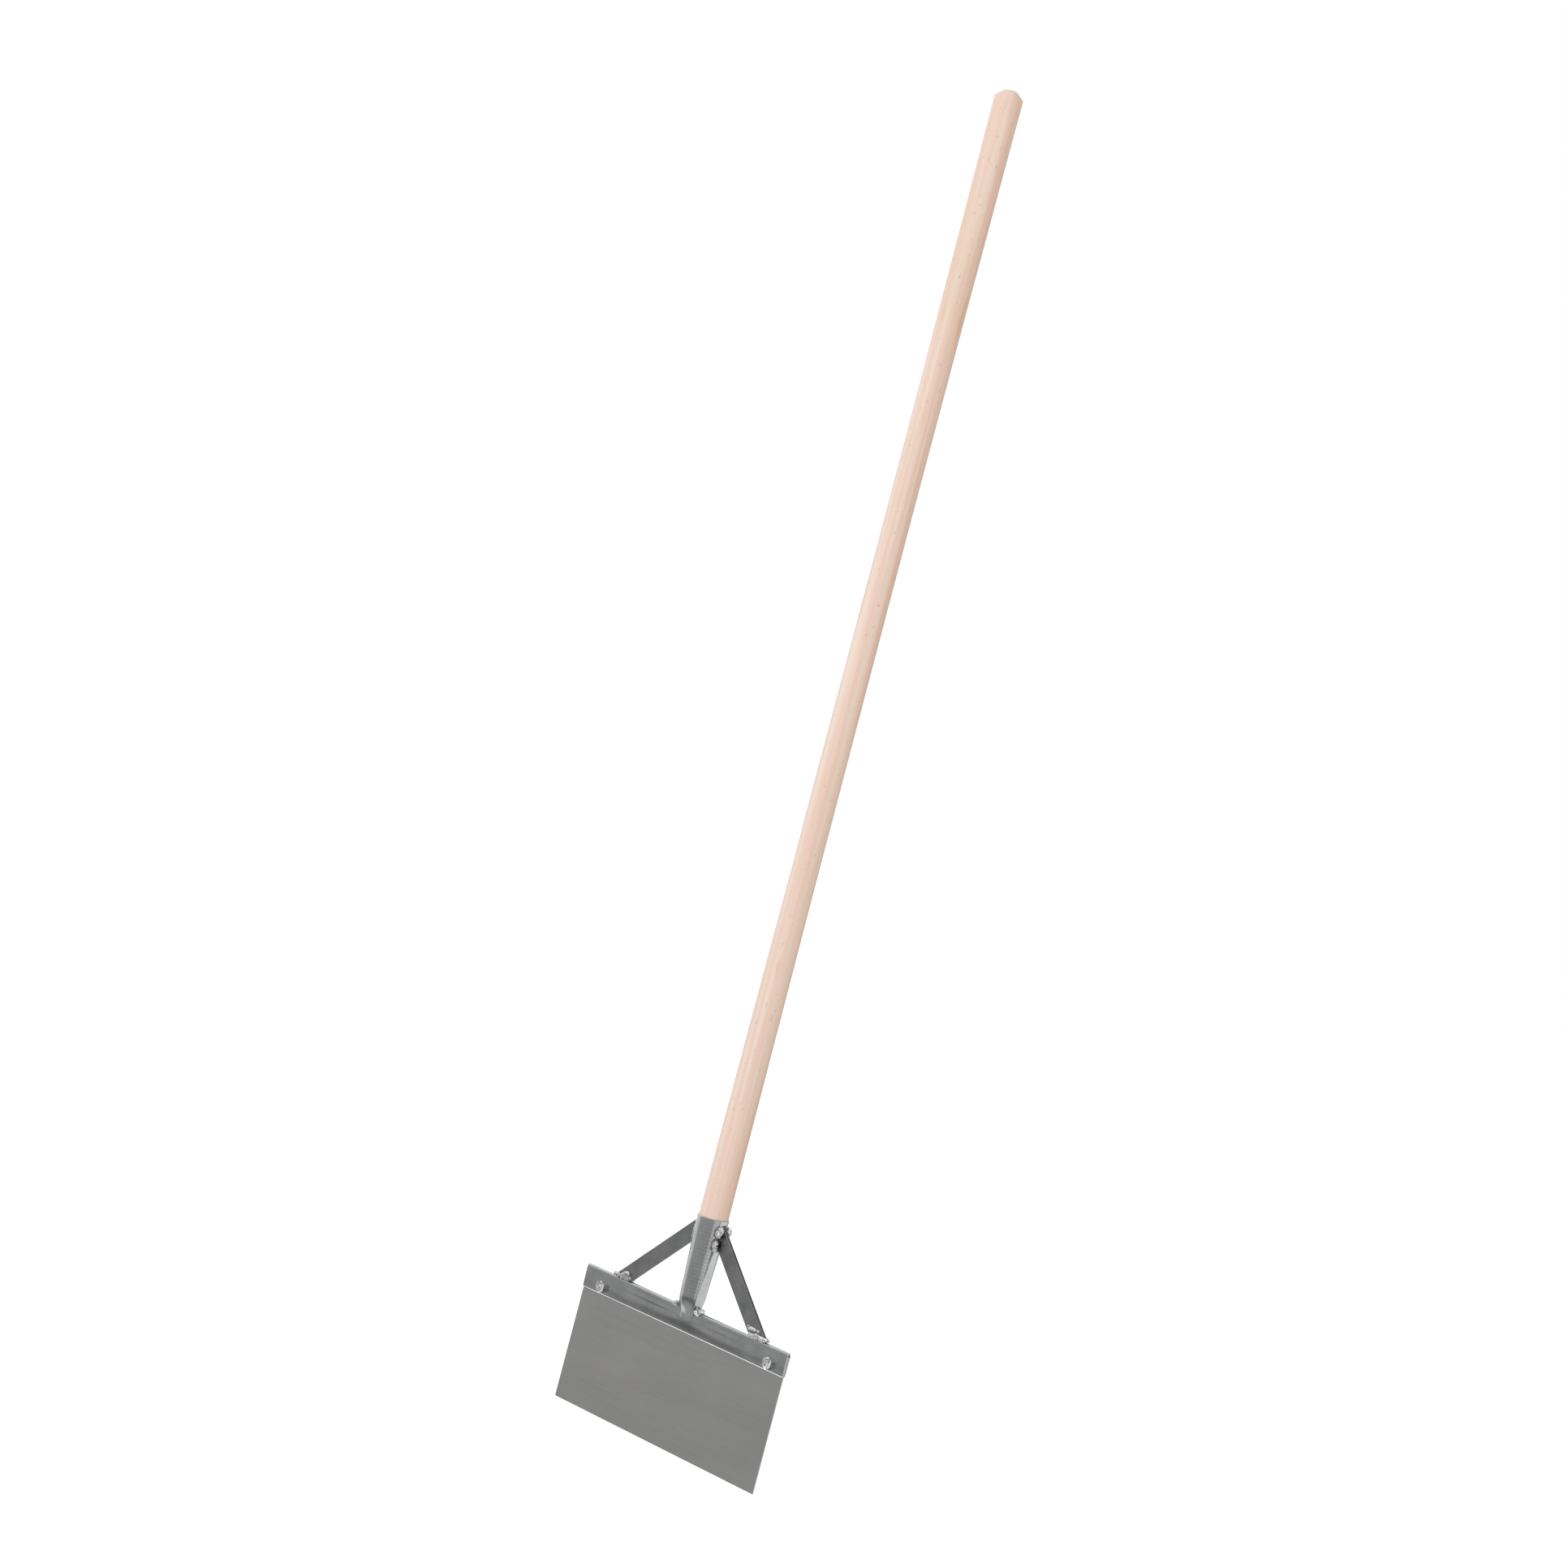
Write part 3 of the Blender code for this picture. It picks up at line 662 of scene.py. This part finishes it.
def build_screw(material):
    """Pan head with a driving slot, and a thread that tapers to its point inside the handle."""
    radius = (SCREW_HIGH[0] - SCREW_LOW[0]) / 2
    height = 2.4 * MM
    start = SCREW_HIGH[1] - height
    centre_z = (SCREW_LOW[2] + SCREW_HIGH[2]) / 2
    length = start - SCREW_LOW[1]
    core, crest, pitch = 1.3 * MM, 1.9 * MM, 1.4 * MM
    profile = [(0.3 * MM, -length)]
    z = -length + pitch
    while z + pitch < -1 * MM:
        grown = smooth((z + length) / (5 * MM))
        profile += [(core * grown + 0.3 * MM, z), (crest * grown, z + pitch / 2)]
        z += pitch
    profile += [(core, -0.5 * MM), (core, 0.0), (radius, 0.0), (radius, height * 0.45)]
    for i in range(1, 6):
        roll = math.pi / 2 * i / 6
        profile.append((radius * (0.55 + 0.45 * math.cos(roll)), height * (0.45 + 0.55 * math.sin(roll))))
    profile += [(radius * 0.5, height), (0.2 * MM, height)]
    shape = lay_along_y(turned_shape(profile, TURNED_SEGMENTS), 0, start, centre_z)
    screw = add_piece("pan_screw", shape, material, "zinc_fastener", "handle_screw", angle=30)
    groove = bmesh.new()
    size = Matrix.Diagonal((1.1 * MM, 2 * MM, 3 * radius, 1.0))
    bmesh.ops.create_cube(groove, size=1.0, matrix=Matrix.Translation((0, SCREW_HIGH[1], centre_z)) @ size)
    mesh = bpy.data.meshes.new("driving_slot")
    groove.to_mesh(mesh)
    groove.free()
    cutter = bpy.data.objects.new("driving_slot", mesh)
    slot_cut = screw.modifiers.new("slot", "BOOLEAN")
    slot_cut.operation = "DIFFERENCE"
    slot_cut.solver = "EXACT"
    slot_cut.object = cutter
    bake_modifiers(screw)
    bpy.data.objects.remove(cutter)


# ---------------------------------------------------------------- weld beads

def bake_modifiers(piece):
    """Keep the mesh that the modifiers make, and drop them."""
    bpy.context.view_layer.update()
    shown = piece.evaluated_get(bpy.context.evaluated_depsgraph_get())
    made = bpy.data.meshes.new_from_object(shown)
    piece.modifiers.clear()
    piece.data = made


def add_stroke(shape, chance, start, end, radius, lumps):
    """Overlapping puddles along a line, with a little spatter beside them."""
    start, end = Vector(start), Vector(end)
    for i in range(lumps):
        share = (i + 0.5) / lumps
        jitter = Vector([chance.uniform(-0.16, 0.16) * radius for _ in range(3)])
        size = radius * chance.uniform(0.80, 1.0) * (0.74 + 0.26 * math.sin(math.pi * share))
        squash = Matrix.Diagonal((size, size * 0.75, size, 1.0))
        matrix = Matrix.Translation(start.lerp(end, share) + jitter) @ squash
        bmesh.ops.create_icosphere(shape, subdivisions=3, radius=1.0, matrix=matrix)
    for _ in range(lumps // 2):
        off = Vector([chance.uniform(-0.9, 0.9) * radius for _ in range(3)])
        spot = Matrix.Translation(start.lerp(end, chance.random()) + off)
        bmesh.ops.create_icosphere(shape, subdivisions=2, radius=radius * 0.18, matrix=spot)


def build_weld(node, strokes, material, seed):
    """Strokes of weld metal melted into one lumpy, rippled bead."""
    chance = random.Random(seed)
    shape = bmesh.new()
    for stroke in strokes:
        add_stroke(shape, chance, *stroke)
    bead = add_piece("bead_" + node, shape, material, "weld_metal", node, angle=180)
    melt = bead.modifiers.new("melt", "REMESH")
    melt.mode = "VOXEL"
    melt.voxel_size = 0.3 * MM
    relax = bead.modifiers.new("relax", "SMOOTH")
    relax.factor = 0.5
    relax.iterations = 3
    bake_modifiers(bead)
    mesh = bead.data
    start, end = Vector(strokes[0][0]), Vector(strokes[0][1])
    axis = (end - start).normalized()
    moved = []
    for vert in mesh.vertices:
        along = (vert.co - start).dot(axis)
        off_axis = (vert.co - start - axis * along).length
        ripple = 0.20 * MM * math.sin((along - off_axis * 0.6) / (1.9 * MM) * 2 * math.pi)
        rough = 0.7 * MM * noise.noise(vert.co * 330) + 0.3 * MM * noise.noise(vert.co * 900)
        moved.append(vert.co + vert.normal * (ripple + rough))
    for vert, place in zip(mesh.vertices, moved):
        vert.co = place
    mesh.shade_smooth()


def foot_strokes(side, y):
    """The bead along the foot of a brace, and the metal that washed up over the bar."""
    low = HOLDER_TOP + 2.0 * MM
    bead = ((side * 103 * MM, y, low), (side * 133 * MM, y, low), 3.6 * MM, 8)
    if side < 0:
        wash = ((side * 108 * MM, y, low + 4 * MM), (side * 115 * MM, y, low + 3 * MM), 5.0 * MM, 3)
    else:
        wash = ((side * 99 * MM, y, low + 7.5 * MM), (side * 119 * MM, y, low + 6 * MM), 2.7 * MM, 8)
    return [bead, wash]


def top_strokes(side, y):
    """Two fat puddles where a brace meets the tube; the left ones lie flatter."""
    if side < 0:
        return [((-19.2 * MM, y, HOLDER_TOP + 78 * MM), (-19.8 * MM, y, HOLDER_TOP + 104 * MM), 3.8 * MM, 6)]
    y *= 1.9
    lower = ((20.4 * MM, y, HOLDER_TOP + 77 * MM), (21.2 * MM, y, HOLDER_TOP + 87 * MM), 5.4 * MM, 4)
    upper = ((21.2 * MM, y, HOLDER_TOP + 96 * MM), (22.0 * MM, y, HOLDER_TOP + 106 * MM), 5.6 * MM, 4)
    return [lower, upper]


def build_welds(materials):
    seed = 11
    for label, side in SIDES:
        metal = materials[label]
        for face, front in (("front", -1), ("back", 1)):
            name = label + "_" + face
            build_weld("weld_foot_" + name, foot_strokes(side, front * 3.0 * MM), metal, seed)
            build_weld("weld_top_" + name, top_strokes(side, front * 4.0 * MM), metal, seed + 1)
            seed += 2
        front_end = (side * 18.2 * MM, -9 * MM, HOLDER_TOP)
        back_end = (side * 17.6 * MM, 7 * MM, HOLDER_TOP)
        build_weld("weld_socket_" + label, [(front_end, back_end, 4.4 * MM, 6)], metal, seed)
        seed += 1


# ---------------------------------------------------------------- light, floor and camera

SOFTBOXES = (                       # turn to the camera's right, height, full and faded half-angle, light
    (-150, 8, 44, 60, 0.56),
    (95, 2, 26, 44, 0.80),
    (34, 0, 13, 26, 0.62),
    (-120, 46, 32, 46, 0.62),
    (-150, -62, 16, 32, 2.6),
    (124, 44, 14, 34, -0.54),       # a dark card
    (-20, 70, 12, 30, 1.2),
)


def studio_direction(turn, height):
    """A direction by its turn to the right of the camera, seen from the object, and its height."""
    angle = math.atan2(CAMERA_POINT.y, CAMERA_POINT.x) + math.radians(turn)
    level = math.cos(math.radians(height))
    return (level * math.cos(angle), level * math.sin(angle), math.sin(math.radians(height)))


def make_world():
    """Soft boxes for the metal to mirror, an even soft light from the left for the rest, white behind."""
    world = bpy.data.worlds.new("studio")
    bpy.context.scene.world = world
    world.use_nodes = True
    graph = Graph(world.node_tree)
    direction = graph.add("ShaderNodeTexCoord", {}).outputs["Generated"]
    height = graph.add("ShaderNodeSeparateXYZ", {0: direction}).outputs["Z"]

    def towards(target):
        inputs = {0: direction, 1: target}
        return graph.add("ShaderNodeVectorMath", inputs, operation="DOT_PRODUCT").outputs["Value"]

    low = graph.remap(height, -0.38, -0.21, 0.28, 0.66)
    deep = graph.remap(height, -0.78, -0.44, 0.42, 0.0)
    mirrored = graph.math("ADD", graph.math("ADD", low, deep), graph.remap(height, 0.1, 0.9, 0.0, 0.1))
    for turn, rise, full, faded, light in SOFTBOXES:
        near = towards(studio_direction(turn, rise))
        inner, outer = math.cos(math.radians(full)), math.cos(math.radians(faded))
        mirrored = graph.math("ADD", mirrored, graph.remap(near, outer, inner, 0.0, light))
    sideways = towards(studio_direction(-75, 20))
    soft = graph.mix(graph.remap(sideways, -0.9, 0.9), (0.56, 0.45, 0.37, 1.0), (0.84, 0.86, 0.90, 1.0))
    path = graph.add("ShaderNodeLightPath", {})
    seen = graph.mix(path.outputs["Is Glossy Ray"], soft, mirrored)
    seen = graph.mix(path.outputs["Is Camera Ray"], seen, (1.0, 1.0, 1.0, 1.0))
    background = world.node_tree.nodes["Background"]
    graph.tree.links.new(seen, background.inputs["Color"])


def make_floor():
    bpy.ops.mesh.primitive_circle_add(vertices=96, radius=30, fill_type="NGON", location=(0, 0, -0.5 * MM))
    floor = bpy.context.object
    floor.name = "studio_floor"
    material, graph, shader = new_material("studio_floor")
    speck = graph.noise(graph.place(), 3.0)
    join(graph, shader, Base_Color=graph.mix(speck, grey(0.90), grey(0.92)))
    shader.inputs["Roughness"].default_value = 0.9
    shader.inputs["Specular IOR Level"].default_value = 0.0
    shader.inputs["Emission Color"].default_value = (1.0, 1.0, 1.0, 1.0)
    shader.inputs["Emission Strength"].default_value = 0.55
    floor.data.materials.append(material)
    floor.visible_glossy = False
    floor.visible_diffuse = False


def make_light(name, turn, height, distance, size, energy, colour):
    light = bpy.data.lights.new(name, "AREA")
    light.size = size
    light.energy = energy
    light.color = colour
    lamp = bpy.data.objects.new(name, light)
    aim = Vector((0, 0, 0.7))
    lamp.location = aim + Vector(studio_direction(turn, height)) * distance
    lamp.rotation_mode = "QUATERNION"
    lamp.rotation_quaternion = (aim - lamp.location).to_track_quat("-Z", "Y")
    lamp.visible_glossy = False
    bpy.context.scene.collection.objects.link(lamp)


def make_camera():
    data = bpy.data.cameras.new("camera")
    data.lens = CAMERA_LENS
    data.sensor_width = SENSOR
    data.clip_end = 100
    camera = bpy.data.objects.new("camera", data)
    bpy.context.scene.collection.objects.link(camera)
    level = math.cos(CAMERA_ELEVATION)
    forward = Vector((
        -math.sin(CAMERA_AZIMUTH) * level,
        math.cos(CAMERA_AZIMUTH) * level,
        -math.sin(CAMERA_ELEVATION),
    ))
    camera.rotation_mode = "QUATERNION"
    upright = forward.to_track_quat("-Z", "Y")
    camera.rotation_quaternion = upright @ Quaternion((0, 0, 1), -CAMERA_ROLL)
    camera.location = CAMERA_POINT
    bpy.context.scene.camera = camera


def build_studio():
    bpy.context.scene.view_settings.view_transform = "Standard"
    make_world()
    make_floor()
    make_light("key", -60, 25, 3.2, 2.4, 20, (1.0, 1.0, 1.0))
    make_light("fill", 10, 10, 3.4, 2.4, 24, (1.0, 0.97, 0.94))
    make_camera()


# ---------------------------------------------------------------- the whole scraper

def build_scraper():
    holder_steel = sheet_steel("galvanised_sheet", 0.31, 0.36, 0.16, 0.24, 0.05)
    tube_steel = sheet_steel("galvanised_tube", 0.34, 0.39, 0.13, 0.20, 0.04)
    bar_steel = sheet_steel("dark_bar", 0.20, 0.26, 0.30, 0.42, 0.2)
    zinc = bright_metal("zinc_plate", 0.84, 0.06, 0.16, 0.2, 0.7)
    welds = {
        "left": bright_metal("dull_weld", 0.50, 0.2, 0.34, 0.3, 0.4),
        "right": bright_metal("bright_weld", 0.78, 0.05, 0.16, 0.3, 0.9),
    }
    build_blade(blade_steel())
    build_holder(holder_steel)
    build_socket(tube_steel)
    build_handle(beech())
    build_screw(zinc)
    for label, side in SIDES:
        build_brace(label, side, bar_steel)
        build_bolt(label, side, zinc)
        build_washer(label, side, zinc)
        build_nut(label, side, zinc)
    build_welds(welds)


build_studio()
build_scraper()
